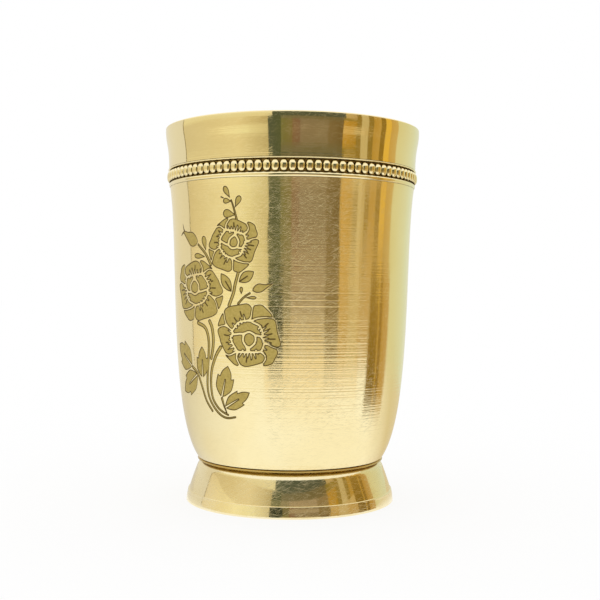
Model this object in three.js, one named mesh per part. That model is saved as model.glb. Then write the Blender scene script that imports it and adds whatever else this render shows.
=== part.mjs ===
// Brass tumbler: a spun cup on a hollow flared foot, with a beaded moulding let in under its lip.
// Lengths are millimetres, +Z is up, and the origin is the centre of the face that it stands on.
import * as THREE from "three";

// Heights, stacked from the table up to the rim
const FOOT_HEIGHT = 11.8;
const COLLAR_HEIGHT = 0.9;
const BODY_HEIGHT = 79.75;
const LOWER_BORDER_HEIGHT = 1.3;
const LOWER_GROOVE_HEIGHT = 0.1;
const BEAD_HEIGHT = 3.1;
const UPPER_GROOVE_HEIGHT = 0.2;
const UPPER_BORDER_HEIGHT = 0.5;
const LIP_HEIGHT = 11.95;

// Every soldered joint is a thin seam, wide enough for the solder to run into
const SOLDER_GAP = 0.1;

// Cup: outside radii, sheet, and the pull of the two ends of the curved body and of the lip
const RIM_RADIUS = 37.9;
const BODY_TOP_RADIUS = 36.5;
const NECK_RADIUS = 27.65;
const LIP_STEP = 0.37;
const CUP_WALL = 1.2;
const CUP_FLOOR = 1.5;
const RIM_ROUNDING = 0.35;
const RIM_ROUNDING_MOST_OF_WALL = 0.45;
const FLOOR_CORNER = 5;
const BODY_TOP_PULL_IN = 2.6;
const BODY_TOP_PULL_DOWN = 18.35;
const BODY_NECK_PULL_OUT = 8.9;
const BODY_NECK_PULL_UP = 13.2;
const LIP_TOP_PULL_DOWN = 4.3;
const LIP_FOOT_PULL_UP = 7.1;

// Moulding: the recess that holds it, how far each wire stands proud, and the beads
const SEAT_DEPTH = 0.3;
const LOWER_BORDER_PROUD = 0.3;
const UPPER_BORDER_PROUD = 0.25;
const BEAD_PROUD = 0.92;
const BEAD_COUNT = 100;
const BEAD_WAIST_HEIGHT = 0.8;

// Collar wire that covers the seam between cup and foot
const COLLAR_DEPTH = 1.1;
const COLLAR_PROUD = 0.1;

// Foot: a spun cone with a flange under the cup and a thicker band where it stands
const FOOT_RADIUS = 31.1;
const FOOT_WALL = 1.2;
const FLARE_TOP_PROUD = 0.25;
const FLARE_SWELL = 0.12;
const FOOT_SHOULDER_WIDTH = 1.5;
const FOOT_SHOULDER_HEIGHT = 1.8;
const FOOT_SHOULDER_PULL = 0.9;
const FOOT_FLANGE_WIDTH = 7.4;
const FOOT_BAND_HEIGHT = 3.4;
const FOOT_BAND_WIDTH = 2;
const FOOT_BAND_TAPER = 0.55;
const FOOT_LEDGE = 0.15;
const FOOT_EDGE_ROUNDING = 0.3;
const SOLDER_FILLET = 1;

// Finishes: how brightly each piece is buffed, and the solder as it ran
const CUP_FINISH = { color: 0xd9bd6a, roughness: 0.16 };
const BORDER_FINISH = { color: 0xd2b05a, roughness: 0.2 };
const BEAD_FINISH = { color: 0xc9a44c, roughness: 0.24 };
const COLLAR_FINISH = { color: 0xc9a44c, roughness: 0.3 };
const FOOT_FINISH = { color: 0xd6b862, roughness: 0.18 };
const SOLDER_FINISH = { color: 0xb7a878, roughness: 0.45 };

// How finely the round shapes are cut into facets
const FACETS = 60;
const BODY_STEPS = 12;
const LIP_STEPS = 5;
const CORNER_STEPS = 3;
const BORDER_STEPS = 4;
const FLARE_STEPS = 4;
const BEAD_STEPS = 4;

// Levels that follow from the stack of heights
const cupBase = FOOT_HEIGHT + SOLDER_GAP;
const cupFloor = cupBase + CUP_FLOOR;
const neck = cupBase + COLLAR_HEIGHT + SOLDER_GAP;
const seatFoot = neck + BODY_HEIGHT;
const lowerBorder = seatFoot + SOLDER_GAP;
const beads = lowerBorder + LOWER_BORDER_HEIGHT + LOWER_GROOVE_HEIGHT;
const upperBorder = beads + BEAD_HEIGHT + UPPER_GROOVE_HEIGHT;
const seatTop = upperBorder + UPPER_BORDER_HEIGHT + SOLDER_GAP;
const rim = seatTop + LIP_HEIGHT;

// Radii that follow from their neighbours
const lipFootRadius = BODY_TOP_RADIUS + LIP_STEP;
const seatRadius = BODY_TOP_RADIUS - SEAT_DEPTH;
const wireBack = seatRadius + SOLDER_GAP;
const spigotRadius = NECK_RADIUS - COLLAR_DEPTH;
const flareTopRadius = NECK_RADIUS + FLARE_TOP_PROUD;
const flangeRadius = flareTopRadius - FOOT_FLANGE_WIDTH;
const rimRounding = Math.min(RIM_ROUNDING, RIM_ROUNDING_MOST_OF_WALL * CUP_WALL);

const at = (radius, height) => new THREE.Vector2(radius, height);

// Outside line of the body, from the neck up to the moulding
function bodyCurve() {
  return new THREE.CubicBezierCurve(
    at(NECK_RADIUS, neck),
    at(NECK_RADIUS + BODY_NECK_PULL_OUT, neck + BODY_NECK_PULL_UP),
    at(BODY_TOP_RADIUS - BODY_TOP_PULL_IN, seatFoot - BODY_TOP_PULL_DOWN),
    at(BODY_TOP_RADIUS, seatFoot),
  );
}

// Outside line of the lip, an easy S that is upright at both ends
function lipCurve() {
  const top = rim - rimRounding;
  return new THREE.CubicBezierCurve(
    at(lipFootRadius, seatTop),
    at(lipFootRadius, seatTop + LIP_FOOT_PULL_UP),
    at(RIM_RADIUS, top - LIP_TOP_PULL_DOWN),
    at(RIM_RADIUS, top),
  );
}

// Points of an upward line moved square to it by the sheet's thickness, towards the axis
function insideOf(curve, steps, thickness) {
  return curve.getPoints(steps).map((point, i) => {
    const along = curve.getTangent(i / steps);
    return at(point.x - thickness * along.y, point.y + thickness * along.x);
  });
}

// Quarter turn from one point to another, round the corner that their two lines share
function rounded(from, corner, to) {
  return new THREE.QuadraticBezierCurve(from, corner, to).getPoints(CORNER_STEPS);
}

// Where the straight line through two points reaches a height
function crossing(first, second, height) {
  return first.clone().lerp(second, (height - first.y) / (second.y - first.y));
}

// Half-round section with its flat back against the seat, closed on itself
function halfRound(back, nose, foot, height) {
  const middle = foot + height / 2;
  const points = [];
  for (let i = 0; i <= BORDER_STEPS; i++) {
    const turn = Math.PI * (i / BORDER_STEPS - 0.5);
    points.push(at(back + (nose - back) * Math.cos(turn), middle + (height / 2) * Math.sin(turn)));
  }
  return [...points, points[0].clone()];
}

// One piece of metal; every piece has a material of its own
function metalPiece(name, geometry, finish) {
  const material = new THREE.MeshStandardMaterial({ ...finish, metalness: 1 });
  const mesh = new THREE.Mesh(geometry, material);
  mesh.name = name;
  return mesh;
}

// A section turned about the upright axis
function turned(section, facets = FACETS) {
  return new THREE.LatheGeometry(section, facets).rotateX(Math.PI / 2);
}

// Cup: spigot, body, recess, lip, rim, and back down the inside to the floor
function cupShell() {
  const insideBody = insideOf(bodyCurve(), BODY_STEPS, CUP_WALL).reverse();
  const wall = insideBody.filter((point) => point.y > cupFloor + FLOOR_CORNER);
  const [before, last] = wall.slice(-2);
  const corner = crossing(before, last, cupFloor);
  const floorEdge = at(corner.x - FLOOR_CORNER, cupFloor);
  const section = [
    at(0, cupBase),
    at(spigotRadius, cupBase),
    at(spigotRadius, neck),
    ...bodyCurve().getPoints(BODY_STEPS),
    at(seatRadius, seatFoot),
    at(seatRadius, seatTop),
    ...lipCurve().getPoints(LIP_STEPS),
    at(RIM_RADIUS - rimRounding, rim),
    at(RIM_RADIUS - CUP_WALL + rimRounding, rim),
    ...insideOf(lipCurve(), LIP_STEPS, CUP_WALL).reverse(),
    ...wall,
    ...rounded(last, corner, floorEdge).slice(1),
    at(0, cupFloor),
  ];
  return metalPiece("cup_shell", turned(section), CUP_FINISH);
}

// Upper and lower border wires: plain half-round rings in the recess
function upperBorderWire() {
  const nose = lipFootRadius + UPPER_BORDER_PROUD;
  const section = halfRound(wireBack, nose, upperBorder, UPPER_BORDER_HEIGHT);
  return metalPiece("upper_border_wire", turned(section), BORDER_FINISH);
}

function lowerBorderWire() {
  const nose = BODY_TOP_RADIUS + LOWER_BORDER_PROUD;
  const section = halfRound(wireBack, nose, lowerBorder, LOWER_BORDER_HEIGHT);
  return metalPiece("lower_border_wire", turned(section), BORDER_FINISH);
}

// Beaded wire: a half-round ring drawn in to a waist between each bead and the next
function beadedWire() {
  const section = halfRound(wireBack, BODY_TOP_RADIUS + BEAD_PROUD, beads, BEAD_HEIGHT);
  const geometry = turned(section, BEAD_COUNT * BEAD_STEPS);
  const place = geometry.getAttribute("position");
  const middle = beads + BEAD_HEIGHT / 2;
  const waist = BEAD_WAIST_HEIGHT / BEAD_HEIGHT;
  for (let i = 0; i < place.count; i++) {
    const step = Math.floor(i / section.length) % BEAD_STEPS;
    const fromMiddle = (2 * Math.min(step, BEAD_STEPS - step)) / BEAD_STEPS;
    const swell = waist + (1 - waist) * Math.sqrt(1 - fromMiddle ** 2);
    const radius = Math.hypot(place.getX(i), place.getY(i));
    const drawnIn = (wireBack + (radius - wireBack) * swell) / radius;
    const height = middle + (place.getZ(i) - middle) * swell;
    place.setXYZ(i, place.getX(i) * drawnIn, place.getY(i) * drawnIn, height);
  }
  return metalPiece("beaded_wire", geometry, BEAD_FINISH);
}

// Collar wire round the spigot, between the neck of the cup and the top of the foot
function collarWire() {
  const back = spigotRadius + SOLDER_GAP;
  const section = halfRound(back, NECK_RADIUS + COLLAR_PROUD, cupBase, COLLAR_HEIGHT);
  return metalPiece("collar_wire", turned(section), COLLAR_FINISH);
}

// Foot: standing face, tapered band, ledge, flare, shoulder, flange, and back down the inside
function footRing() {
  const bandTop = FOOT_RADIUS - FOOT_BAND_TAPER;
  const flareFoot = at(bandTop - FOOT_LEDGE, FOOT_BAND_HEIGHT);
  const flareTop = at(flareTopRadius, FOOT_HEIGHT - FOOT_SHOULDER_HEIGHT);
  const flareMiddle = at(
    (flareFoot.x + flareTop.x) / 2 + FLARE_SWELL,
    (flareFoot.y + flareTop.y) / 2,
  );
  const flare = new THREE.QuadraticBezierCurve(flareFoot, flareMiddle, flareTop);
  const shoulderPull = crossing(flareFoot, flareTop, flareTop.y + FOOT_SHOULDER_PULL);
  const shoulderEnd = at(flareTopRadius - FOOT_SHOULDER_WIDTH, FOOT_HEIGHT);
  const flangeUnder = FOOT_HEIGHT - FOOT_WALL;
  const inside = insideOf(flare, FLARE_STEPS, FOOT_WALL);
  const corner = crossing(inside.at(-2), inside.at(-1), flangeUnder);
  const section = [
    at(FOOT_RADIUS - FOOT_BAND_WIDTH, 0),
    at(FOOT_RADIUS - FOOT_EDGE_ROUNDING, 0),
    at(FOOT_RADIUS, FOOT_EDGE_ROUNDING),
    at(bandTop, FOOT_BAND_HEIGHT),
    ...flare.getPoints(FLARE_STEPS),
    ...rounded(flareTop, shoulderPull, shoulderEnd).slice(1),
    at(flangeRadius, FOOT_HEIGHT),
    at(flangeRadius, flangeUnder),
    corner,
    ...inside.slice(0, -1).reverse(),
    at(FOOT_RADIUS - FOOT_BAND_WIDTH, 0),
  ];
  return metalPiece("foot_ring", turned(section), FOOT_FINISH);
}

// Solder drawn into the corner between the flange's edge and the underside of the cup
function footSolder() {
  const edge = flangeRadius - SOLDER_GAP;
  const section = [
    at(edge - SOLDER_FILLET, FOOT_HEIGHT),
    at(edge, FOOT_HEIGHT - SOLDER_FILLET),
    at(edge, FOOT_HEIGHT),
    at(edge - SOLDER_FILLET, FOOT_HEIGHT),
  ];
  return metalPiece("foot_solder", turned(section), SOLDER_FINISH);
}

const tumbler = new THREE.Group();
tumbler.add(
  cupShell(),
  upperBorderWire(),
  beadedWire(),
  lowerBorderWire(),
  collarWire(),
  footRing(),
  footSolder(),
);

export default tumbler;
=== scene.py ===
import math

import bmesh
import bpy
import numpy as np
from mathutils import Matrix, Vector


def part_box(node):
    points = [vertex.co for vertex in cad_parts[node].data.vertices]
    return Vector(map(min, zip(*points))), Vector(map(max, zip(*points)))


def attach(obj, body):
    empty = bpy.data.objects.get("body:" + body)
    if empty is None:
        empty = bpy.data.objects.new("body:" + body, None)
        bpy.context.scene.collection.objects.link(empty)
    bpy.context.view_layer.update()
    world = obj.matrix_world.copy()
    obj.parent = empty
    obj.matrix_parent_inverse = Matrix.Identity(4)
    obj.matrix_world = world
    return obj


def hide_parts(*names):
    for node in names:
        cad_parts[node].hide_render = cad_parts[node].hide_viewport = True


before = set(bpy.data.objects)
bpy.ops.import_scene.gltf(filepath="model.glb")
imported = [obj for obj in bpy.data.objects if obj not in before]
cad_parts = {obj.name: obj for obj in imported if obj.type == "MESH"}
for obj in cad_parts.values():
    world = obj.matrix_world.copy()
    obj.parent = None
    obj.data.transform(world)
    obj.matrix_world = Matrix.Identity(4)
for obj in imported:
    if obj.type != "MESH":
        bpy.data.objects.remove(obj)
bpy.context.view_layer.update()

MM = 0.001
ROOT = "root"


def reach(cad_node):
    """Outside radius, lowest level and highest level of a turned CAD node."""
    low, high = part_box(cad_node)
    return high.x / MM, low.z / MM, high.z / MM


# Sizes that the frame gives
rim_radius, cup_base, rim = reach("cup_shell")
upper_nose, upper_foot, upper_top = reach("upper_border_wire")
bead_nose, bead_foot, bead_top = reach("beaded_wire")
lower_nose, lower_foot, lower_top = reach("lower_border_wire")
collar_nose, collar_foot, collar_top = reach("collar_wire")
foot_radius, standing_face, foot_height = reach("foot_ring")
solder_radius, solder_foot, solder_top = reach("foot_solder")

# Driving sizes of the shapes that the frame's boxes do not tell.
# A pull is how far a curve's handle lies outwards and upwards from that end of the curve.
SOLDER_GAP = 0.1

# Cup
CUP_WALL = 1.2
CUP_FLOOR = 1.5
RIM_ROUNDING = 0.35
FLOOR_CORNER = 5
NECK_RADIUS = 27.65
BODY_TOP_RADIUS = 36.5
LIP_STEP = 0.37
NECK_PULL = (8.9, 13.2)
BODY_TOP_PULL = (-2.6, -18.35)
LIP_FOOT_PULL = (0, 7.1)
LIP_TOP_PULL = (0, -4.3)

# Moulding and collar: a bead takes this share of its pitch, and its ends are squarer than a circle's
SEAT_DEPTH = 0.3
COLLAR_DEPTH = 1.1
BEAD_COUNT = 100
BEAD_WAIST = 0.8
BEAD_SHARE = 0.89
BEAD_SQUARENESS = 2.5
BEAD_FULLNESS = 2.6

# Foot and the solder inside it
FOOT_WALL = 1.2
FOOT_SHOULDER = (1.5, 1.8)
SHOULDER_PULL = 0.9
FLARE_TOP_PROUD = 0.25
FLARE_SWELL = 0.12
FOOT_FLANGE = 7.4
BAND_HEIGHT = 3.4
BAND_WIDTH = 2
BAND_TAPER = 0.55
BAND_SWELL = 0.03
BAND_ROUNDING = 0.35
FOOT_EDGE_ROUNDING = 0.3
FILLET_PULL = 0.3

# Etching: its depth, and how far from its edge it takes to get there
ETCH_DEPTH = 0.07
ETCH_EDGE = 0.25

neck = collar_top + SOLDER_GAP
cup_floor = cup_base + CUP_FLOOR
seat_foot = lower_foot - SOLDER_GAP
seat_top = upper_top + SOLDER_GAP
seat_radius = BODY_TOP_RADIUS - SEAT_DEPTH
wire_back = seat_radius + SOLDER_GAP
lip_foot_radius = BODY_TOP_RADIUS + LIP_STEP
spigot_radius = NECK_RADIUS - COLLAR_DEPTH
collar_back = spigot_radius + SOLDER_GAP
flare_top_radius = NECK_RADIUS + FLARE_TOP_PROUD
flange_radius = flare_top_radius - FOOT_FLANGE

# How finely the shapes are drawn
TURNS = 120
FINE_TURNS = 240
BODY_ROWS = 44
WALL_LINE_STEPS = 400
LIP_ROWS = 14
CORNER_ROWS = 6
WIRE_ROWS = 16
BEAD_STEPS = 14
FLARE_ROWS = 12
FLOOR_RINGS = (0.6, 0.4, 0.2, 0)
SMOOTH_STEPS = 5
ETCH_CUTS = 11
# Cells with their middle this near the spray are cut finer
CELL_REACH = 1.5
# Points nearer than this are one point, and edges that turn by more degrees than this stay sharp
MERGE_DISTANCE = 1e-4
SHARP_TURN = 40


# Lines and sections

def curve(points, steps):
    """Places along the Bezier curve that these points pull."""
    share = np.linspace(0, 1, steps + 1)[:, None]
    order = len(points) - 1
    terms = [
        math.comb(order, k) * share**k * (1 - share) ** (order - k) * np.array(point, float)
        for k, point in enumerate(points)
    ]
    return sum(terms)


def shifted(point, pull):
    return point[0] + pull[0], point[1] + pull[1]


def inside_of(line, thickness):
    """An upward line moved square to itself, towards the axis."""
    along = np.gradient(line, axis=0)
    along /= np.linalg.norm(along, axis=1)[:, None]
    return line + thickness * np.c_[-along[:, 1], along[:, 0]]


def crossing(first, second, height):
    """Where the straight line through two points reaches a height."""
    return first + (second - first) * (height - first[1]) / (second[1] - first[1])


def body_line(steps):
    """Outside of the body, from the neck up to the recess."""
    foot, top = (NECK_RADIUS, neck), (BODY_TOP_RADIUS, seat_foot)
    return curve([foot, shifted(foot, NECK_PULL), shifted(top, BODY_TOP_PULL), top], steps)


def lip_line():
    """Outside of the lip, from the recess up to the rounding of the rim."""
    foot, top = (lip_foot_radius, seat_top), (rim_radius, rim - RIM_ROUNDING)
    return curve([foot, shifted(foot, LIP_FOOT_PULL), shifted(top, LIP_TOP_PULL), top], LIP_ROWS)


def half_round(back, nose, foot, top, fullness=2):
    """Section of a wire with its flat back against the seat; fullness above 2 squares its shoulders."""
    turn = np.linspace(-math.pi / 2, math.pi / 2, WIRE_ROWS + 1)
    outward = np.maximum(np.cos(turn), 0) ** (2 / fullness)
    upward_share = np.sign(turn) * np.abs(np.sin(turn)) ** (2 / fullness)
    middle, half = (foot + top) / 2, (top - foot) / 2
    return np.c_[back + (nose - back) * outward, middle + half * upward_share]


def cup_section():
    """Spigot, body, recess, lip, rim, and down the inside to the floor."""
    body = body_line(BODY_ROWS)
    lip = lip_line()
    lip_inside = inside_of(lip, CUP_WALL)[::-1]
    body_inside = inside_of(body, CUP_WALL)[::-1]
    wall = body_inside[body_inside[:, 1] > cup_floor + FLOOR_CORNER]
    corner = crossing(wall[-2], wall[-1], cup_floor)
    outer_edge, inner_edge = lip[-1], lip_inside[0]
    over = (outer_edge[0] - RIM_ROUNDING, rim)
    across = (inner_edge[0] + RIM_ROUNDING, rim)
    return np.vstack([
        [(0, cup_base), (spigot_radius / 2, cup_base), (spigot_radius, cup_base), (spigot_radius, neck)],
        body,
        [(seat_radius, seat_foot), (seat_radius, seat_top)],
        lip,
        curve([outer_edge, (outer_edge[0], rim), over], CORNER_ROWS)[1:],
        curve([across, (inner_edge[0], rim), inner_edge], CORNER_ROWS),
        lip_inside[1:],
        wall,
        curve([wall[-1], corner, (corner[0] - FLOOR_CORNER, cup_floor)], CORNER_ROWS)[1:],
        [(corner[0] * share, cup_floor) for share in FLOOR_RINGS],
    ])


def foot_section():
    """Standing face, band with its rounded shoulder, flare, top shoulder, flange, and down the inside."""
    band_top = foot_radius - BAND_TAPER
    band_middle = (foot_radius - BAND_TAPER / 2 + BAND_SWELL, BAND_HEIGHT / 2)
    flare_foot = np.array([band_top - BAND_ROUNDING, BAND_HEIGHT])
    flare_top = np.array([flare_top_radius, foot_height - FOOT_SHOULDER[1]])
    pull = shifted((flare_foot + flare_top) / 2, (FLARE_SWELL, 0))
    flare = curve([flare_foot, pull, flare_top], FLARE_ROWS)
    shoulder_pull = crossing(flare_foot, flare_top, flare_top[1] + SHOULDER_PULL)
    shoulder_end = (flare_top_radius - FOOT_SHOULDER[0], foot_height)
    inside = inside_of(flare, FOOT_WALL)
    under = foot_height - FOOT_WALL
    edge_foot = (foot_radius - FOOT_EDGE_ROUNDING, standing_face)
    edge_top = (foot_radius, FOOT_EDGE_ROUNDING)
    band_end = (band_top, BAND_HEIGHT - BAND_ROUNDING)
    return np.vstack([
        [(foot_radius - BAND_WIDTH, standing_face)],
        curve([edge_foot, (foot_radius, standing_face), edge_top], CORNER_ROWS),
        curve([edge_top, band_middle, band_end], CORNER_ROWS)[1:],
        curve([band_end, (band_top, BAND_HEIGHT), flare_foot], CORNER_ROWS)[1:],
        flare[1:],
        curve([flare_top, shoulder_pull, shoulder_end], CORNER_ROWS)[1:],
        [(flange_radius, foot_height), (flange_radius, under)],
        [crossing(inside[-2], inside[-1], under)],
        inside[-2::-1],
    ])


def solder_section():
    """A hollow fillet drawn into the corner between the flange's edge and the cup."""
    fillet = solder_top - solder_foot
    inner = (solder_radius - fillet, solder_top)
    outer = (solder_radius, solder_foot)
    corner = (solder_radius, solder_top)
    pull = shifted(corner, (-FILLET_PULL * fillet, -FILLET_PULL * fillet))
    return np.vstack([curve([inner, pull, outer], CORNER_ROWS), [corner]])


# Meshes

def turned(section, turns):
    """A section turned about the upright axis; one that does not end on the axis closes on itself."""
    draft = bmesh.new()
    points = [draft.verts.new((radius * MM, 0, height * MM)) for radius, height in section]
    lines = [draft.edges.new(pair) for pair in zip(points, points[1:])]
    if section[0][0] > 0:
        lines.append(draft.edges.new((points[-1], points[0])))
    bmesh.ops.spin(
        draft, geom=points + lines, cent=(0, 0, 0), axis=(0, 0, 1),
        angle=math.tau, steps=turns, use_merge=True,
    )
    bmesh.ops.remove_doubles(draft, verts=draft.verts, dist=MERGE_DISTANCE * MM)
    bmesh.ops.recalc_face_normals(draft, faces=draft.faces)
    return draft


def as_mesh(name, draft):
    mesh = bpy.data.meshes.new(name)
    draft.to_mesh(mesh)
    draft.free()
    return mesh


def read(mesh):
    """A mesh's places, in millimetres."""
    flat = np.empty(3 * len(mesh.vertices))
    mesh.vertices.foreach_get("co", flat)
    return flat.reshape(-1, 3) / MM


def write(mesh, places):
    mesh.vertices.foreach_set("co", (places * MM).ravel())
    mesh.update()


def radius_of(places):
    """Distance of each place from the axis."""
    return np.hypot(places[:, 0], places[:, 1])


def turn_of(places):
    """How far round the axis each place lies from the front line, to the right."""
    return np.arctan2(places[:, 0], -places[:, 1])


def mark(mesh, name, values):
    """Keeps one number a vertex, for a material to read."""
    layer = mesh.attributes.new(name, "FLOAT", "POINT")
    layer.data.foreach_set("value", np.asarray(values, np.float32))


def finished(name, mesh, cad_node, slot, *materials):
    """Makes the piece that stands for a CAD node."""
    mesh.shade_smooth()
    mesh.set_sharp_from_angle(angle=math.radians(SHARP_TURN))
    for material in materials:
        mesh.materials.append(material)
    piece = bpy.data.objects.new(name, mesh)
    bpy.context.scene.collection.objects.link(piece)
    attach(piece, ROOT)
    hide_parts(cad_node)


# Etched rose spray. Places are millimetres round the wall from its front line, left negative,
# and above the table. The roses are one drawing, told from its own middle.
ROSE_HEART = [
    [(-1.6, 0), (0, 1.8), (1.6, 0), (0, -1.6)],
    [(-4.6, 1.8), (-3.6, 3.9), (-1.2, 4.6), (1.1, 4.3), (2.9, 3.2), (3.7, 1.9), (3.3, 1.3),
     (0.1, 2.3), (-2.3, 2)],
    [(-5.2, 0.6), (-2.4, 1.1), (-2, -0.8), (-1.1, -3), (-3, -2.9), (-4.8, -1.3)],
    [(2.3, 0.7), (3.7, 0.1), (4, -1.5), (3.1, -2.9), (1.1, -3.1), (0.5, -2.6), (1.9, -1.1)],
]
ROSE_PETALS = [
    [(-7.5, 7.7), (-5.9, 8.7), (-2.9, 9.2), (-0.8, 9.5), (0.3, 8.8), (0.5, 7.5), (0.1, 5.9),
     (-3.2, 5), (-5.1, 3), (-6.6, 4.2), (-7.5, 5.5)],
    [(1.3, 8.6), (1.9, 9.1), (3.4, 9.2), (4.6, 8.3), (5.8, 7.1), (6.2, 6.2), (4.4, 6.3),
     (2.3, 6.2), (0.6, 5.7)],
    [(1.3, 5), (3, 5.5), (5.4, 5.8), (7.1, 5), (7.7, 2.1), (8.6, -1.1), (7.9, -1.7), (6.3, -1.8),
     (3.9, 0.3), (4.1, 1.6), (3.8, 2.8), (3.2, 4.2)],
    [(4.7, -1.1), (6.9, -2), (7.8, -3.4), (7.1, -5), (6.3, -6.3), (4.3, -6.8), (4.8, -5),
     (4.4, -3.7), (3.9, -2.9)],
    [(-3.4, -4.3), (-2.1, -3.7), (-0.8, -4), (1.3, -3.7), (3.3, -3.5), (4.4, -4.4), (4.2, -5.6),
     (2.9, -6.3), (-0.6, -7.2), (-2.3, -6.8), (-3.3, -5.6)],
    [(-7.1, -4.4), (-5.5, -4.5), (-4.1, -3.9), (-4, -5.3), (-3.3, -6.9), (-4.3, -6.8), (-5.7, -5.7)],
    [(-9.8, 2.1), (-9, 3), (-7.6, 3.2), (-5.9, 2.4), (-5.6, 1.4), (-5.9, 0.2), (-4.3, -2.9),
     (-5.5, -3.9), (-6.7, -4.2), (-8.6, -1.3), (-9.1, 0.1)],
    [(-9.7, 3.7), (-9, 5.5), (-8.1, 6.8), (-7.8, 5.7), (-7.6, 4.2), (-9, 3.8)],
]
# Bright hair lines at the inner ends of the petals: first and last direction, count,
# inner radius and longest outer radius
ROSE_HAIRS = [
    (104, 140, 4, 5, 6.9),
    (-8, 48, 6, 4, 6.1),
    (160, 214, 6, 5.2, 6.8),
    (238, 304, 6, 3.5, 5.6),
    (316, 346, 3, 4.6, 6.2),
]
# Short dark veins further out, told the same way
ROSE_VEINS = [
    (110, 128, 2, 6.6, 8),
    (2, 40, 4, 5.8, 7.2),
    (172, 204, 3, 6.6, 7.8),
    (262, 290, 3, 5, 6.2),
]
# Each rose: centre, scale round the wall and up, turn of its petals and of its heart in degrees,
# and whether it is upside down
ROSES = [
    ((-11.5, 49), (1, 1), 0, 0, False),
    ((-16.3, 75.3), (0.83, 0.84), -8, -19, True),
    ((-31.1, 63.1), (1.12, 0.98), 186, 187, False),
]
# Leaves: base, tip, width and kind
LEAVES = [
    ((-32.8, 40.8), (-42.6, 46.6), 7.6, "toothed"),
    ((-30, 38.6), (-39, 33), 6.6, "toothed"),
    ((-27.6, 37.8), (-27.8, 46.7), 5.2, "toothed"),
    ((-20.2, 32.8), (-18, 41.7), 5.8, "toothed"),
    ((-19, 30), (-11.2, 34.6), 4.6, "toothed"),
    ((-16.9, 61.8), (-20.5, 67), 3.1, "pointed"),
    ((-14.7, 64.5), (-10.1, 67.4), 3.2, "pointed"),
    ((-17.5, 87.2), (-19.5, 90.5), 1.8, "round"),
    ((-17, 86.3), (-19.8, 86.6), 1.7, "round"),
    ((-15.9, 84.6), (-14.4, 87.8), 1.9, "round"),
    ((-15.8, 82.6), (-19.8, 83.3), 2.5, "round"),
    ((-26, 73.1), (-27.1, 77.3), 2, "round"),
    ((-26.2, 71.5), (-31.1, 71.9), 1.7, "round"),
    ((-12.7, 60.3), (-9.4, 60.3), 1.1, "round"),
    ((-13.9, 61.1), (-13.9, 63.3), 1.2, "round"),
]
# One side of each kind of leaf as smooth runs, in shares of its length and of half its width
LEAF_SIDES = {
    "toothed": [
        [(0, 0.06), (0.1, 0.5), (0.27, 0.94), (0.45, 1.02), (0.67, 1)],
        [(0.63, 0.7), (0.78, 0.58), (0.9, 0.32), (1, 0)],
    ],
    "pointed": [[(0, 0.05), (0.22, 0.7), (0.5, 1), (0.78, 0.66), (1, 0)]],
    "round": [[(0, 0.08), (0.25, 0.5), (0.55, 0.94), (0.8, 0.92), (0.95, 0.5), (1, 0)]],
}
BUDS = [
    [(-29.6, 75.3), (-31.1, 74.4), (-33, 74.6), (-34.8, 76.2), (-37, 78.3), (-36.2, 79), (-34.5, 78.7),
     (-32.4, 78.6), (-31, 78), (-29.7, 76.6)],
    [(-10.7, 62.3), (-10, 63.6), (-8.8, 64.2), (-7.2, 64), (-4.8, 64.2), (-6.6, 62.8), (-8, 61.8),
     (-9.6, 61.6)],
]
# Stems: places, and width at the first and last of them
STEMS = [
    ([(-17.1, 86.6), (-16.3, 84.5), (-15.4, 81.4)], 0.6, 0.8),
    ([(-36.3, 78.6), (-37.1, 79.6), (-37.6, 80.9)], 0.8, 0.3),
    ([(-36.4, 78.6), (-37.6, 78.5), (-38.8, 77.8)], 0.9, 0.4),
    ([(-29.2, 74.9), (-26.2, 72.4), (-24, 69.3)], 0.8, 1),
    ([(-14.9, 66.9), (-15.8, 63.8), (-16.3, 61.5), (-17.7, 58.1)], 1, 1.1),
    ([(-11.4, 61.5), (-13.1, 60.4), (-14.8, 58.7)], 0.7, 0.8),
    ([(-29.4, 53.1), (-26.6, 52.1), (-25.3, 50.2), (-24.8, 47.3), (-25, 43.5), (-25.4, 39.2),
      (-25.5, 35.2), (-24.7, 32.2), (-22.7, 29.5), (-20.4, 27.7), (-18.2, 27.1), (-15.7, 27.5)], 1.2, 0.7),
    ([(-24.5, 53.7), (-23.6, 52), (-23.1, 49), (-23.3, 46.2), (-23.9, 43.5)], 1.2, 1.1),
    ([(-20.5, 46.6), (-21.9, 44.7), (-23, 42.4), (-23.8, 40), (-24.1, 36.5), (-23.5, 32.5),
      (-21.7, 30), (-19.8, 28.7), (-18, 28)], 1.2, 0.7),
    ([(-32.5, 40.6), (-29.8, 38.8), (-27.9, 35.3), (-26.1, 31.5), (-23.7, 28.7)], 1, 0.8),
    ([(-20.1, 32.5), (-19.4, 30.5), (-18.5, 28.6)], 0.9, 0.5),
    ([(-20.4, 87.6), (-19.6, 87.3)], 0.5, 0.4),
]
# Petals spread by this much, and the bright line left between them thins from one radius to the other
PETAL_SPREAD = 0.3
PETAL_LINE = (0.42, 0.16)
PETAL_LINE_THINS = (5, 7.5)
# Lines from a rose's heart are uneven: every second is shorter, and so is each next one of three
SECOND_SHORTER = 0.3
NEXT_SHORTER = 0.35
HAIR_WIDTH = 0.36
VEIN_DEPTH = 0.1
RIB_SHARE = 0.55
RIB_WIDTH = 0.34
# Further than this from the spray the wall counts as bare
FAR = 3.0


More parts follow.
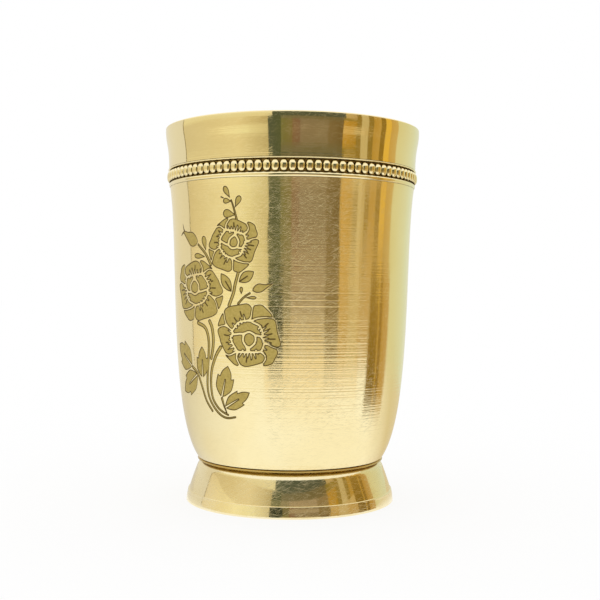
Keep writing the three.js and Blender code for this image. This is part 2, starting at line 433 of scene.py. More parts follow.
def smooth(points, closed):
    """A curve through all the points, as a fine row of places."""
    points = np.array(points, float)
    if closed:
        ends = np.vstack([points[-1], points, points[0], points[1]])
    else:
        ends = np.vstack([2 * points[0] - points[1], points, 2 * points[-1] - points[-2]])
    share = np.arange(SMOOTH_STEPS)[:, None] / SMOOTH_STEPS
    row = []
    for a, b, c, d in zip(ends, ends[1:], ends[2:], ends[3:]):
        bend = 2 * b + (c - a) * share + (2 * a - 5 * b + 4 * c - d) * share**2
        row.append((bend + (3 * b - a - 3 * c + d) * share**3) / 2)
    return np.vstack(row) if closed else np.vstack(row + [points[-1:]])


def leaf_outline(base, tip, width, kind):
    base, tip = np.array(base), np.array(tip)
    along = tip - base
    across = np.array([-along[1], along[0]]) / np.linalg.norm(along) * width / 2
    side = np.vstack([smooth(run, False) for run in LEAF_SIDES[kind]])
    left = base + along * side[:, :1] + across * side[:, 1:]
    right = base + along * side[:, :1] - across * side[:, 1:]
    return np.vstack([left, right[-2::-1]])


def leaf_rib(base, tip):
    base, tip = np.array(base), np.array(tip)
    return np.array([base, base + (tip - base) * RIB_SHARE])


def rose_place(rose, points, of_heart=False):
    """Puts points of the drawing where this rose is."""
    centre, scale, petal_turn, heart_turn, flipped = rose
    turn = math.radians(heart_turn if of_heart else petal_turn)
    points = np.array(points, float) * (1, -1 if flipped else 1)
    c, s = math.cos(turn), math.sin(turn)
    return np.array(centre) + np.array(scale) * (points @ np.array([(c, s), (-s, c)]))


def lines_from_heart(rows):
    """Short lines of uneven length that spread from the rose's heart, as start and end."""
    lines = []
    for first, last, count, inner, outer in rows:
        for i, turn in enumerate(np.radians(np.linspace(first, last, count))):
            direction = np.array([math.cos(turn), math.sin(turn)])
            end = outer - NEXT_SHORTER * (i % 3) - SECOND_SHORTER * (i % 2)
            lines.append([direction * inner, direction * end])
    return lines


def to_line(line, places, closed):
    """Distance of each place from a row of points, and the share of the row where that is."""
    starts = line if closed else line[:-1]
    steps = (np.roll(line, -1, axis=0) if closed else line[1:]) - starts
    away = places[:, None] - starts
    share = np.clip((away * steps).sum(2) / (steps**2).sum(1), 0, 1)
    distance = np.linalg.norm(away - share[..., None] * steps, axis=2)
    nearest = distance.argmin(1)
    rows = np.arange(len(places))
    return distance[rows, nearest], (nearest + share[rows, nearest]) / len(starts)


def depth_in_outline(outline, places):
    """How far inside a closed outline each place lies, negative outside."""
    distance, _ = to_line(outline, places, True)
    ends = np.roll(outline, -1, axis=0)
    x, y = places[:, :1], places[:, 1:]
    spans = (outline[:, 1] > y) != (ends[:, 1] > y)
    rise = np.where(ends[:, 1] == outline[:, 1], 1, ends[:, 1] - outline[:, 1])
    reach_x = outline[:, 0] + (y - outline[:, 1]) / rise * (ends[:, 0] - outline[:, 0])
    inside = (spans & (x < reach_x)).sum(1) % 2 == 1
    return np.where(inside, distance, -distance)


def depth_in_stroke(line, first_width, last_width, places):
    """How far inside a stroke along a line each place lies, negative outside."""
    distance, share = to_line(line, places, False)
    return (first_width + (last_width - first_width) * share) / 2 - distance


def depth_in_rose(rose, places):
    """Depth inside the petals, which spread until a bright line is left between neighbours."""
    centre, scale, *_ = rose
    from_heart = np.linalg.norm((places - centre) / scale, axis=1)
    line = np.interp(from_heart, PETAL_LINE_THINS, PETAL_LINE)
    outlines = [smooth(rose_place(rose, petal), True) for petal in ROSE_PETALS]
    outlines += [smooth(rose_place(rose, petal, True), True) for petal in ROSE_HEART]
    depths = np.sort([depth_in_outline(outline, places) for outline in outlines], axis=0)
    depth = np.minimum(depths[-1] + PETAL_SPREAD, (depths[-1] - depths[-2] - line) / 2)
    for vein in lines_from_heart(ROSE_VEINS):
        depth = np.minimum(depth, VEIN_DEPTH + to_line(rose_place(rose, vein), places, False)[0])
    for hair in lines_from_heart(ROSE_HAIRS):
        depth = np.minimum(depth, -depth_in_stroke(rose_place(rose, hair), HAIR_WIDTH, 0, places))
    return depth


def depth_in_leaf(leaf, places):
    """Depth inside a leaf, less its rib: a bright cut in a toothed leaf, a dark vein in a pointed one."""
    base, tip, _, kind = leaf
    depth = depth_in_outline(leaf_outline(*leaf), places)
    if kind == "toothed":
        return np.minimum(depth, -depth_in_stroke(leaf_rib(base, tip), RIB_WIDTH, 0, places))
    if kind == "pointed":
        return np.minimum(depth, VEIN_DEPTH + to_line(leaf_rib(base, tip), places, False)[0])
    return depth


def spray_depth(places):
    """Depth inside the etched spray at each place on the wall, in millimetres; negative on bare metal."""
    depth = np.full(len(places), -FAR)

    def lay(points, measure, *shape):
        """Lays one shape over the spray, where the wall is near enough to feel it."""
        points = np.array(points, float)
        low, high = points.min(0) - FAR, points.max(0) + FAR
        near = np.flatnonzero(((places > low) & (places < high)).all(1))
        if len(near):
            depth[near] = np.maximum(depth[near], measure(*shape, places[near]))

    for rose in ROSES:
        lay(np.vstack([rose_place(rose, petal) for petal in ROSE_PETALS]), depth_in_rose, rose)
    for leaf in LEAVES:
        lay(leaf_outline(*leaf), depth_in_leaf, leaf)
    for bud in BUDS:
        lay(bud, depth_in_outline, smooth(bud, True))
    for points, first, last in STEMS:
        lay(points, depth_in_stroke, smooth(points, False), first, last)
    return depth


# Pieces

# How far off a place still counts as on a level or on the wall, and how far a face has to look up
# to count as floor
LEVEL_SLACK = SOLDER_GAP / 2
WALL_SLACK = CUP_WALL / 4
LOOKS_UP = 0.5
wall_line = body_line(WALL_LINE_STEPS)


def wall_radius(places):
    """The body's outside radius at the height of each place."""
    return np.interp(places[:, 2], wall_line[:, 1], wall_line[:, 0])


def unrolled(places):
    """Places on the body's outside as millimetres round the wall and up."""
    return np.c_[turn_of(places) * wall_radius(places), places[:, 2]]


def within_levels(places, low, high):
    return (places[:, 2] > low - LEVEL_SLACK) & (places[:, 2] < high + LEVEL_SLACK)


def on_body(places):
    """Which places lie on the body's outside face."""
    away = np.abs(radius_of(places) - wall_radius(places))
    return within_levels(places, neck, seat_foot) & (away < WALL_SLACK)


def cut_finer(draft):
    """Cuts the body's cells that the spray crosses into small ones, for the relief."""
    draft.faces.ensure_lookup_table()
    draft.edges.index_update()
    middles = np.array([face.calc_center_median() for face in draft.faces]) / MM
    chosen = np.flatnonzero(on_body(middles))
    depth = spray_depth(unrolled(middles[chosen]))
    crossed = [draft.faces[i] for i in chosen[depth > -CELL_REACH]]
    edges = {edge for face in crossed for edge in face.edges}
    ordered = sorted(edges, key=lambda edge: edge.index)
    bmesh.ops.subdivide_edges(draft, edges=ordered, cuts=ETCH_CUTS, use_grid_fill=True)


def eased(values, width):
    """0 at zero and below, 1 at the width and above, eased between."""
    share = np.clip(values / width, 0, 1)
    return share * share * (3 - 2 * share)


def cup_faces(mesh):
    """Material of each face of the cup: 0 outside, 1 inside, 2 the recess that holds the moulding."""
    count = len(mesh.polygons)
    middles, normals = np.empty(3 * count), np.empty(3 * count)
    mesh.polygons.foreach_get("center", middles)
    mesh.polygons.foreach_get("normal", normals)
    middles, normals = middles.reshape(-1, 3) / MM, normals.reshape(-1, 3)
    outward = (middles[:, :2] * normals[:, :2]).sum(1)
    floor_face = (normals[:, 2] > LOOKS_UP) & (middles[:, 2] < neck + FLOOR_CORNER)
    inside = (outward < 0) & (middles[:, 2] > cup_base + SOLDER_GAP) | floor_face
    behind_wires = within_levels(middles, seat_foot, seat_top) & (radius_of(middles) < lip_foot_radius)
    recess = behind_wires & (outward >= 0)
    return np.where(inside, 1, np.where(recess, 2, 0))


def cup_piece(outside, inside, recess):
    """The spun cup, with the spray sunk into its wall."""
    draft = turned(cup_section(), TURNS)
    cut_finer(draft)
    mesh = as_mesh("cup", draft)
    places = read(mesh)
    body = on_body(places)
    depth = np.full(len(places), -FAR)
    depth[body] = spray_depth(unrolled(places[body]))
    radius = wall_radius(places[body]) - ETCH_DEPTH * eased(depth[body], ETCH_EDGE)
    turn = turn_of(places[body])
    places[body, 0] = radius * np.sin(turn)
    places[body, 1] = -radius * np.cos(turn)
    write(mesh, places)
    mark(mesh, "etched", depth)
    finished("cup", mesh, "cup_shell", "polished_brass", outside, inside, recess)
    mesh.polygons.foreach_set("material_index", cup_faces(mesh))


def beaded(places):
    """Draws a half-round ring in to a waist between each bead and the next, with a bead in front."""
    turn = turn_of(places) / math.tau * BEAD_COUNT
    from_middle = 2 * np.abs(turn - np.round(turn)) / BEAD_SHARE
    waist = BEAD_WAIST / (bead_top - bead_foot)
    round_off = (1 - np.minimum(from_middle, 1) ** BEAD_SQUARENESS) ** (1 / BEAD_SQUARENESS)
    swell = waist + (1 - waist) * round_off
    radius = radius_of(places)
    drawn_in = (wire_back + (radius - wire_back) * swell) / radius
    middle = (bead_foot + bead_top) / 2
    height = middle + (places[:, 2] - middle) * swell
    return np.c_[places[:, 0] * drawn_in, places[:, 1] * drawn_in, height]


def wire_piece(name, section, turns, cad_node, material, drawn=None):
    """A ring of wire, marked with how far behind its nose each place lies."""
    mesh = as_mesh(name, turned(section, turns))
    if drawn:
        write(mesh, drawn(read(mesh)))
    back, nose = section[:, 0].min(), section[:, 0].max()
    mark(mesh, "hollow", (nose - radius_of(read(mesh))) / (nose - back))
    finished(name, mesh, cad_node, "moulding_brass", material)


# Materials

# Directions of the hair scratches, in degrees from level
SCRATCH_SLANTS = (-30, 12)
# Turning lines are at their deepest up to one level and at their faintest above the other
LINES_FULL = 56
LINES_FAINT = 88
# The lip's gloss starts this far above the top of the body
LIP_GLOSS_START = 2
# A quarter turn lays the spread of the gloss across the turning lines
GLOSS_TURN = 0.25
# The etched ground is rough and partly oxide
ETCHED_ROUGHNESS = 0.75
ETCHED_METAL = 0.4
# A MapRange node takes a value, the range it comes from and the range it goes to (0 to 1 unless told),
# here with eased ends, and a Mix node takes colours when it is told so
EASED = {"interpolation_type": "SMOOTHSTEP"}
COLOURS = {"data_type": "RGBA"}


def linear(colour):
    """An sRGB hex colour as linear RGBA."""
    shares = [int(colour[i:i + 2], 16) / 255 for i in (0, 2, 4)]
    return [c / 12.92 if c <= 0.04045 else ((c + 0.055) / 1.055) ** 2.4 for c in shares] + [1]


def node(tree, kind, sockets=(), **settings):
    """Adds a shader node with its settings.

    Its sockets are told by name or in their order, each as a number, a colour or another node's output.
    """
    made = tree.nodes.new("ShaderNode" + kind)
    for key, value in settings.items():
        setattr(made, key, value)
    for key, value in sockets.items() if isinstance(sockets, dict) else enumerate(sockets):
        if isinstance(value, bpy.types.NodeSocket):
            tree.links.new(value, made.inputs[key])
        else:
            made.inputs[key].default_value = value
    return made.outputs


def blank(name):
    """A new material with an empty node tree, and the place on the object in metres."""
    material = bpy.data.materials.new(name)
    material.use_nodes = True
    tree = material.node_tree
    tree.nodes.clear()
    return material, tree, node(tree, "TexCoord")["Object"]


def per_metre(size):
    """Scale of a pattern whose patches are about this many millimetres."""
    return 1 / (size * MM)


def cut_lines(tree, place, width, run, slant=0, detail=3):
    """Uneven lines cut round the axis, or at a slant to it.

    Real ones are a few hundredths of a millimetre wide, too fine to show, so width is coarser.
    """
    stretched = node(
        tree, "Mapping",
        {
            "Vector": place,
            "Rotation": (0, math.radians(slant), 0),
            "Scale": (run * MM, run * MM, width * MM),
        },
        vector_type="TEXTURE",
    )["Vector"]
    pattern = {"Vector": stretched, "Scale": 1, "Detail": detail, "Roughness": 0.6}
    return node(tree, "TexNoise", pattern)["Fac"]


def hair_scratches(tree, place, width, run):
    """Crossed hair scratches of a polishing rag: 1 on a scratch, 0 on the bright metal between."""
    ways = [cut_lines(tree, place, width, run, slant) for slant in SCRATCH_SLANTS]
    crossed = node(tree, "Math", ways, operation="MAXIMUM")["Value"]
    return node(tree, "MapRange", (crossed, 0.5, 0.66), **EASED)["Result"]


def patches_of(tree, place, size, low, high, tones, detail=2):
    """Soft patches of about this size, and the two tones that they take between low and high."""
    patches = node(tree, "TexNoise", {"Vector": place, "Scale": per_metre(size), "Detail": detail})["Fac"]
    share = node(tree, "MapRange", (patches, low, high), **EASED)["Result"]
    first, second = map(linear, tones)
    return patches, node(tree, "Mix", {"Factor": share, "A": first, "B": second}, **COLOURS)["Result"]


def patina_of(tree, place, size, grime, start, full, tones):
    """Patina that grows towards the back of a wire, uneven with grime, and the tones it runs between."""
    hollow = node(tree, "Attribute", attribute_name="hollow")["Fac"]
    uneven = node(tree, "TexNoise", {"Vector": place, "Scale": per_metre(size), "Detail": 2})["Fac"]
    grown = node(tree, "Math", (uneven, grime, hollow), operation="MULTIPLY_ADD")["Value"]
    patina = node(tree, "MapRange", (grown, start, full), **EASED)["Result"]
    bright, dark = map(linear, tones)
    return patina, node(tree, "Mix", {"Factor": patina, "A": bright, "B": dark}, **COLOURS)["Result"]


def metal(material, tree, colour, roughness, height, depth, anisotropic=0.0, metallic=1.0):
    """The metal itself, with a relief of this depth, and gloss spread up and down the wall."""
    normal = node(tree, "Bump", {"Height": height, "Strength": 1, "Distance": depth * MM})["Normal"]
    around = node(tree, "Tangent", direction_type="RADIAL", axis="Z")["Tangent"]
    shader = node(
        tree, "BsdfPrincipled",
        {
            "Base Color": colour, "Metallic": metallic, "Roughness": roughness, "Normal": normal,
            "Anisotropic": anisotropic, "Anisotropic Rotation": GLOSS_TURN, "Tangent": around,
        },
    )["BSDF"]
    node(tree, "OutputMaterial", {"Surface": shader})
    return material


def polished_brass():
    """Spun brass sheet, buffed on the lathe: a mirror on the lip, drawn out up and down the body.

    The spray is etched into it: dull, a little oxidised, and darkest along its edges.
    """
    material, tree, place = blank("polished_spun_brass")
    level = node(tree, "SeparateXYZ", {"Vector": place})["Z"]
    lip_start = (seat_foot + LIP_GLOSS_START) * MM
    lip = node(tree, "MapRange", (level, lip_start, seat_top * MM), **EASED)["Result"]
    lined = node(tree, "MapRange", (level, LINES_FULL * MM, LINES_FAINT * MM, 1, 0), **EASED)["Result"]
    scratches = hair_scratches(tree, place, width=0.2, run=2)
    # Few octaves keep the turning lines from blurring sideways what the wall mirrors
    lines = cut_lines(tree, place, width=0.4, run=120, detail=1)
    fine_lines = cut_lines(tree, place, width=0.3, run=80, detail=0)
    _, buffed = patches_of(tree, place, size=22, low=0.35, high=0.65, tones=("fff1c0", "fdecb6"))
    _, matt = patches_of(tree, place, size=0.6, low=0.3, high=0.7, tones=("c9b364", "baa456"), detail=4)
    etched = node(tree, "Attribute", attribute_name="etched")["Fac"]
    bitten = node(tree, "MapRange", (etched, 0, 0.08), **EASED)["Result"]
    edge = node(tree, "MapRange", (etched, 0.2, 0.4, 1, 0), **EASED)["Result"]
    ground = node(tree, "Mix", {"Factor": edge, "A": matt, "B": linear("5c4816")}, **COLOURS)["Result"]
    colour = node(tree, "Mix", {"Factor": bitten, "A": buffed, "B": ground}, **COLOURS)["Result"]
    body_gloss = node(tree, "MapRange", (scratches, 0, 1, 0.09, 0.24), **EASED)["Result"]
    lip_gloss = node(tree, "MapRange", (scratches, 0, 1, 0.05, 0.15), **EASED)["Result"]
    gloss = node(tree, "Mix", {"Factor": lip, "A": body_gloss, "B": lip_gloss})["Result"]
    roughness = node(tree, "Mix", {"Factor": bitten, "A": gloss, "B": ETCHED_ROUGHNESS})["Result"]
    metallic = node(tree, "Mix", {"Factor": bitten, "A": 1, "B": ETCHED_METAL})["Result"]
    # Height in millimetres: soft waves of the spinning, then fine and deep turning lines
    line_depth = node(tree, "MapRange", (lined, 0, 1, 0.007, 0.042), **EASED)["Result"]
    fine_depth = node(tree, "MapRange", (lined, 0, 1, 0.006, 0.022), **EASED)["Result"]
    waves = node(tree, "TexNoise", {"Vector": place, "Scale": per_metre(12), "Detail": 0})["Fac"]
    height = node(tree, "Math", (waves, 0.06), operation="MULTIPLY")["Value"]
    height = node(tree, "Math", (fine_lines, fine_depth, height), operation="MULTIPLY_ADD")["Value"]
    height = node(tree, "Math", (lines, line_depth, height), operation="MULTIPLY_ADD")["Value"]
    return metal(material, tree, colour, roughness, height, depth=1, anisotropic=1.0, metallic=metallic)


def inside_brass():
    """The cup's inside, turned but not buffed: satin, with plain rings."""
    material, tree, place = blank("satin_turned_brass")
    rings = cut_lines(tree, place, width=0.7, run=60)
    _, colour = patches_of(tree, place, size=15, low=0.35, high=0.65, tones=("eedb9f", "e2c985"))
    roughness = node(tree, "MapRange", (rings, 0.3, 0.7, 0.26, 0.36), **EASED)["Result"]
    return metal(material, tree, colour, roughness, rings, depth=0.03, anisotropic=0.7)


def recess_brass():
    """The recess behind the moulding, which no buff reaches: dull and brown with old polish and patina."""
    material, tree, place = blank("patinated_recess_brass")
    tones = ("94783c", "b8995a")
    dirt, colour = patches_of(tree, place, size=0.8, low=0.35, high=0.7, tones=tones, detail=4)
    roughness = node(tree, "MapRange", (dirt, 0.3, 0.7, 0.7, 0.5), **EASED)["Result"]
    return metal(material, tree, colour, roughness, dirt, depth=0.05)


def moulding_brass():
    """Drawn brass wire, bright where the buff reached and dark with old polish in its hollows."""
    material, tree, place = blank("moulding_wire_brass")
    tones = ("fff0be", "4e3c16")
    patina, colour = patina_of(tree, place, size=1.2, grime=0.25, start=0.5, full=0.85, tones=tones)
    roughness = node(tree, "Mix", {"Factor": patina, "A": 0.08, "B": 0.55})["Result"]
    dents = node(tree, "TexNoise", {"Vector": place, "Scale": per_metre(0.7), "Detail": 2})["Fac"]
    return metal(material, tree, colour, roughness, dents, depth=0.012)


def collar_brass():
    """The collar over the seam, brown with patina that the buff leaves between cup and foot."""
    material, tree, place = blank("tarnished_collar_brass")
    tones = ("c8ac66", "86682a")
    patina, colour = patina_of(tree, place, size=2, grime=0.4, start=0.4, full=0.85, tones=tones)
    roughness = node(tree, "MapRange", (patina, 0, 1, 0.22, 0.5), **EASED)["Result"]
    lines = cut_lines(tree, place, width=0.2, run=10)
    return metal(material, tree, colour, roughness, lines, depth=0.02)


def foot_brass():
    """The spun foot, buffed to a mirror, with hair scratches."""
    material, tree, place = blank("mirror_polished_foot_brass")
    scratches = hair_scratches(tree, place, width=0.12, run=3)
    _, colour = patches_of(tree, place, size=14, low=0.35, high=0.65, tones=("fef1c8", "f9e9b8"))
    roughness = node(tree, "MapRange", (scratches, 0, 1, 0.04, 0.3), **EASED)["Result"]
    waves = node(tree, "TexNoise", {"Vector": place, "Scale": per_metre(6), "Detail": 0})["Fac"]
    return metal(material, tree, colour, roughness, waves, depth=0.03)


def brazing_solder():
    """Brazing alloy left as it ran: paler than the brass, dull and slightly lumpy."""
    material, tree, place = blank("brazing_solder")
    tones = ("cfc39a", "a8966a")
    lumps, colour = patches_of(tree, place, size=1.5, low=0.3, high=0.7, tones=tones, detail=4)
    roughness = node(tree, "MapRange", (lumps, 0.3, 0.7, 0.4, 0.6), **EASED)["Result"]
    return metal(material, tree, colour, roughness, lumps, depth=0.2)


# Studio: a white floor under white light, with coloured cards that only the metal sees

# Three rings of cards; one that overlaps another stands a little nearer
CARD_RADIUS = 260
MIDDLE_RADIUS = 180
NEAR_RADIUS = 120
NEARER = 1
# Levels where cards end: the body mirrors what is below the break, and the lip what is above it
SKIRTING = 20
CARD_BREAK = 77
BROWN_TOP = 108
AMBER_TOP = 112
LIP_TOP = 126
CARD_TOP = 190
MIDDLE_DARK = (12, 54)
MIDDLE_TOP = 73
NEAR_FOOT = 0.5
NEAR_TOP = 66
# Left edge of the card or row of that name, as an azimuth: 0 is towards the camera, 90 to the right
BEHIND = 180
LEFT_EDGE = -105.4
DARK_EDGE = -19.7
OLIVE_EDGE = -9.6
RED_EDGE = -0.5
UMBER_EDGE = 29
AMBER_EDGE = 41.5
BRONZE_EDGE = 54
NEAR_EDGE = 70.5
GOLD_EDGE = 91
RIGHT_EDGE = 101
# Inner edges of the cards on the floor: clear of the foot for the cards of painted shade round it, or
# further off in front
FOOT_CLEAR = 33
FRONT_CLEAR = 110


def even(tone):
    """The same tone at a card's two lower and two upper corners."""
    return [tone] * 4


def sideways(start, end):
    return [start, end, start, end]


def upward(bottom, top):
    return [bottom, bottom, top, top]


# Rows of upright cards side by side: radius, bottom, top, left edge of the first card,
# and for each card its right edge and its tones
CARD_ROWS = [
    (CARD_RADIUS, 0, CARD_TOP, -BEHIND, {
        "left_back_card": (-106.4, sideways("eae6da", "e0dcd4")),
        "left_seam": (LEFT_EDGE, even("8a7a58")),
    }),
    (CARD_RADIUS, 0, CARD_BREAK, LEFT_EDGE, {
        "left_side_card": (-60, sideways("e2d6bc", "f5ecc8")),
        "left_front_card": (-36, sideways("f7efcb", "ebe5c1")),
        "left_edge_card": (DARK_EDGE, sideways("e6deba", "d3c7a3")),
    }),
    (CARD_RADIUS, CARD_BREAK, LIP_TOP, LEFT_EDGE, {
        "left_lip_card": (-45, sideways("d3c7a9", "e1d3ae")),
        "left_lip_edge_card": (DARK_EDGE, sideways("e1d3ae", "bbac85")),
    }),
    (CARD_RADIUS, LIP_TOP, CARD_TOP, LEFT_EDGE, {
        "left_top_card": (-16.5, upward("e2d8b4", "eee8d0")),
        "grey_top_card": (43.5, sideways("545a4a", "585c50")),
        "amber_top_card": (BRONZE_EDGE, sideways("c4ac7c", "bca274")),
    }),
    (CARD_RADIUS, 0, LIP_TOP, DARK_EDGE, {
        "dark_card": (OLIVE_EDGE, sideways("545a4e", "565c40")),
    }),
    (CARD_RADIUS, 0, BROWN_TOP, OLIVE_EDGE, {
        "olive_card": (RED_EDGE, sideways("767548", "7e724a")),
        "red_card": (6, sideways("82664e", "806656")),
        "brown_card": (UMBER_EDGE, sideways("887966", "86775e")),
        "umber_card": (AMBER_EDGE, sideways("806e50", "725e38")),
    }),
    (CARD_RADIUS, BROWN_TOP, LIP_TOP, OLIVE_EDGE, {
        "dark_upper_card": (AMBER_EDGE, sideways("78725a", "746848")),
    }),
    (CARD_RADIUS, CARD_BREAK, AMBER_TOP, AMBER_EDGE, {
        "amber_card": (BRONZE_EDGE, sideways("c0963e", "ac8834")),
    }),
    (CARD_RADIUS, AMBER_TOP, LIP_TOP, AMBER_EDGE, {
        "bronze_upper_card": (BRONZE_EDGE, sideways("8c7b3b", "968140")),
    }),
    (CARD_RADIUS, CARD_BREAK, CARD_TOP, BRONZE_EDGE, {
        "bronze_card": (58.5, even("947c3c")),
        "pale_card": (65.5, even("c6b488")),
        "olive_strip": (NEAR_EDGE, even("927a38")),
        "gold_card": (78.5, sideways("b69244", "bf9c52")),
        "bronze_strip": (84, even("90742e")),
        "bright_strip": (GOLD_EDGE, even("e0b852")),
        "gold_edge_card": (RIGHT_EDGE, sideways("c8a45a", "ccb074")),
    }),
    (CARD_RADIUS, 0, CARD_BREAK, AMBER_EDGE, {
        "low_amber_card": (52, upward("a88a4e", "dabb80")),
        "low_pale_card": (62.5, upward("b8a276", "dac69a")),
        "low_tan_card": (GOLD_EDGE, upward("b8985e", "cab07c")),
        "low_edge_card": (RIGHT_EDGE, sideways("bca674", "ccba8a")),
    }),
    (CARD_RADIUS, 0, CARD_TOP, RIGHT_EDGE, {
        "right_card": (140, sideways("d8d2aa", "dae2d0")),
        "right_back_card": (BEHIND, sideways("dae2d0", "eae6da")),
    }),
    (CARD_RADIUS - NEARER, 0, SKIRTING, OLIVE_EDGE, {
        "skirting_card": (31, upward("ecdcba", "d0bc94")),
    }),
    (MIDDLE_RADIUS - NEARER, *MIDDLE_DARK, DARK_EDGE, {
        "middle_dark_card": (-7, even("3a3e30")),
    }),
    (MIDDLE_RADIUS, MIDDLE_DARK[1], MIDDLE_TOP, DARK_EDGE, {
        "middle_grey_card": (OLIVE_EDGE, upward("88866a", "767658")),
    }),
    (MIDDLE_RADIUS, 26, MIDDLE_TOP, OLIVE_EDGE, {
        "middle_olive_card": (RED_EDGE, upward("746c50", "9a8f74")),
    }),
    (MIDDLE_RADIUS, 28, MIDDLE_TOP, RED_EDGE, {
        "middle_brown_card": (UMBER_EDGE, upward("a6967e", "aa9882")),
    }),
    (MIDDLE_RADIUS, 22, MIDDLE_TOP, UMBER_EDGE, {
        "middle_umber_card": (AMBER_EDGE, upward("84734e", "927e5e")),
    }),
    (NEAR_RADIUS, NEAR_FOOT, NEAR_TOP, NEAR_EDGE, {
        "near_olive_card": (81, upward("785e1a", "a08240")),
        "near_gold_card": (82.3, even("c8a452")),
        "near_bronze_card": (86.3, upward("7c601c", "a28242")),
        "near_tan_card": (96, sideways("b8944c", "c0a06a")),
    }),
]
# Rows of cards on the floor: inner radius, left edge of the first card,
# and for each card its right edge and its tones, where upward is inward
FLOOR_CARD_ROWS = [
    (FRONT_CLEAR, -24, {
        "front_floor_card": (64, upward("f2dcb0", "ffffff")),
    }),
    # Painted shade: the floor's shadow beside and behind the foot on the right, as the metal mirrors it
    (FOOT_CLEAR, 74, {
        "right_floor_shade_card": (118, sideways("ffffff", "dccfb0")),
        "right_back_floor_shade_card": (BEHIND, even("dccfb0")),
    }),
    # Painted shade: the floor's shadow beside and behind the foot on the left, as the metal mirrors it
    (FOOT_CLEAR, -BEHIND, {
        "left_back_floor_shade_card": (-130, even("d8d3ca")),
        "left_floor_shade_card": (-40, sideways("d8d3ca", "ffffff")),
    }),
]
FLOOR_CARD_LIFT = 0.2
FLOOR_REACH = 4000
FLOOR_GLOW = 0.8
# The camera's place, and its turn in degrees
CAMERA_PLACE = (0, -302.2, 61.9)
CAMERA_TURN = (89.55, -0.46, -0.493)
FOCAL_LENGTH = 60
SENSOR_WIDTH = 36


def stage_mesh(name, places, faces, material):
    mesh = bpy.data.meshes.new(name)
    mesh.from_pydata([tuple(c * MM for c in place) for place in places], [], faces)
    mesh.materials.append(material)
    thing = bpy.data.objects.new(name, mesh)
    bpy.context.scene.collection.objects.link(thing)
    return thing


def card_glow():
    """A card's own light, in the tones that its mesh carries."""
    material, tree, _ = blank("studio_card")
    tone = node(tree, "Attribute", attribute_name="tone")["Color"]
    light = node(tree, "Emission", {"Color": tone, "Strength": 1})["Emission"]
    node(tree, "OutputMaterial", {"Surface": light})
    return material


def card(name, start, end, lower, upper, tones, material):
    """A card curved round the tumbler between two edges, each a radius and a height.

    It has a strip for each degree, and only the metal sees it.
    """
    shares = np.linspace(0, 1, max(2, round(end - start) + 1))
    places, colours = [], []
    corners = np.array([linear(tone) for tone in tones])
    for share in shares:
        turn = math.radians(start + (end - start) * share)
        for (radius, height), (first, last) in zip((lower, upper), (corners[:2], corners[2:])):
            places.append((radius * math.sin(turn), -radius * math.cos(turn), height))
            colours.append(first + (last - first) * share)
    faces = [(i, i + 2, i + 3, i + 1) for i in range(0, len(places) - 2, 2)]
    made = stage_mesh(name, places, faces, material)
    layer = made.data.attributes.new("tone", "FLOAT_COLOR", "POINT")
    layer.data.foreach_set("color", np.ravel(colours))
    made.visible_camera = False
    made.visible_diffuse = False
    made.visible_shadow = False


def card_row(cards, start, lower, upper, material):
    """Cards side by side, each from where the last one ends."""
    for name, (end, tones) in cards.items():
        card(name, start, end, lower, upper, tones, material)
        start = end


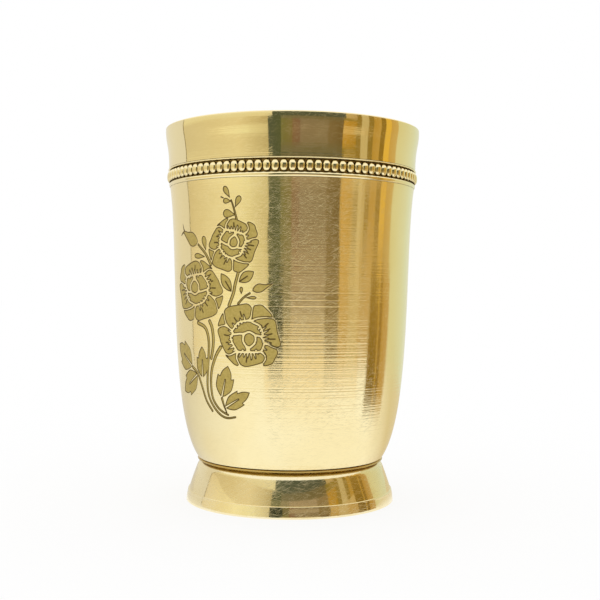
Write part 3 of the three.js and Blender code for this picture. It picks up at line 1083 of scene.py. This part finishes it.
def floor():
    """White floor that glows to the eye and to the metal, and still takes the tumbler's shadow."""
    material, tree, _ = blank("white_floor")
    path = node(tree, "LightPath")
    to_metal_and_glass = (path["Is Glossy Ray"], path["Is Transmission Ray"])
    mirrored = node(tree, "Math", to_metal_and_glass, operation="ADD")["Value"]
    to_eye = (path["Is Camera Ray"], FLOOR_GLOW, mirrored)
    glow = node(tree, "Math", to_eye, operation="MULTIPLY_ADD")["Value"]
    matt = node(tree, "BsdfDiffuse", {"Color": linear("ffffff")})["BSDF"]
    light = node(tree, "Emission", {"Color": linear("ffffff"), "Strength": 1})["Emission"]
    mixed = node(tree, "MixShader", (glow, matt, light))["Shader"]
    node(tree, "OutputMaterial", {"Surface": mixed})
    far = FLOOR_REACH
    corners = [(-far, -far, 0), (far, -far, 0), (far, far, 0), (-far, far, 0)]
    stage_mesh("floor", corners, [(0, 1, 2, 3)], material)


def camera():
    lens = bpy.data.cameras.new("camera")
    lens.lens = FOCAL_LENGTH
    lens.sensor_width = SENSOR_WIDTH
    lens.clip_start = MM
    viewer = bpy.data.objects.new("camera", lens)
    viewer.location = [c * MM for c in CAMERA_PLACE]
    viewer.rotation_euler = [math.radians(a) for a in CAMERA_TURN]
    bpy.context.scene.collection.objects.link(viewer)
    bpy.context.scene.camera = viewer


def studio():
    """Floor, cards, white surround and camera, none of them part of the tumbler."""
    scene = bpy.context.scene
    scene.view_settings.view_transform = "Standard"
    floor()
    glow = card_glow()
    for radius, bottom, top, start, cards in CARD_ROWS:
        card_row(cards, start, (radius, bottom), (radius, top), glow)
    for inner, start, cards in FLOOR_CARD_ROWS:
        card_row(cards, start, (CARD_RADIUS, FLOOR_CARD_LIFT), (inner, FLOOR_CARD_LIFT), glow)
    world = bpy.data.worlds.new("white_surround")
    world.use_nodes = True
    world.node_tree.nodes["Background"].inputs["Color"].default_value = linear("ffffff")
    scene.world = world
    camera()


studio()
cup_piece(polished_brass(), inside_brass(), recess_brass())
wire_brass = moulding_brass()
upper = half_round(wire_back, upper_nose, upper_foot, seat_top)
wire_piece("upper_border", upper, FINE_TURNS, "upper_border_wire", wire_brass)
beads = half_round(wire_back, bead_nose, bead_foot, bead_top, BEAD_FULLNESS)
wire_piece("beads", beads, BEAD_COUNT * BEAD_STEPS, "beaded_wire", wire_brass, beaded)
lower = half_round(wire_back, lower_nose, seat_foot, lower_top)
wire_piece("lower_border", lower, FINE_TURNS, "lower_border_wire", wire_brass)
collar = half_round(collar_back, collar_nose, collar_foot, collar_top)
wire_piece("collar", collar, FINE_TURNS, "collar_wire", collar_brass())
foot = as_mesh("foot", turned(foot_section(), FINE_TURNS))
finished("foot", foot, "foot_ring", "foot_brass", foot_brass())
solder = as_mesh("solder", turned(solder_section(), FINE_TURNS))
finished("solder", solder, "foot_solder", "brazing_solder", brazing_solder())
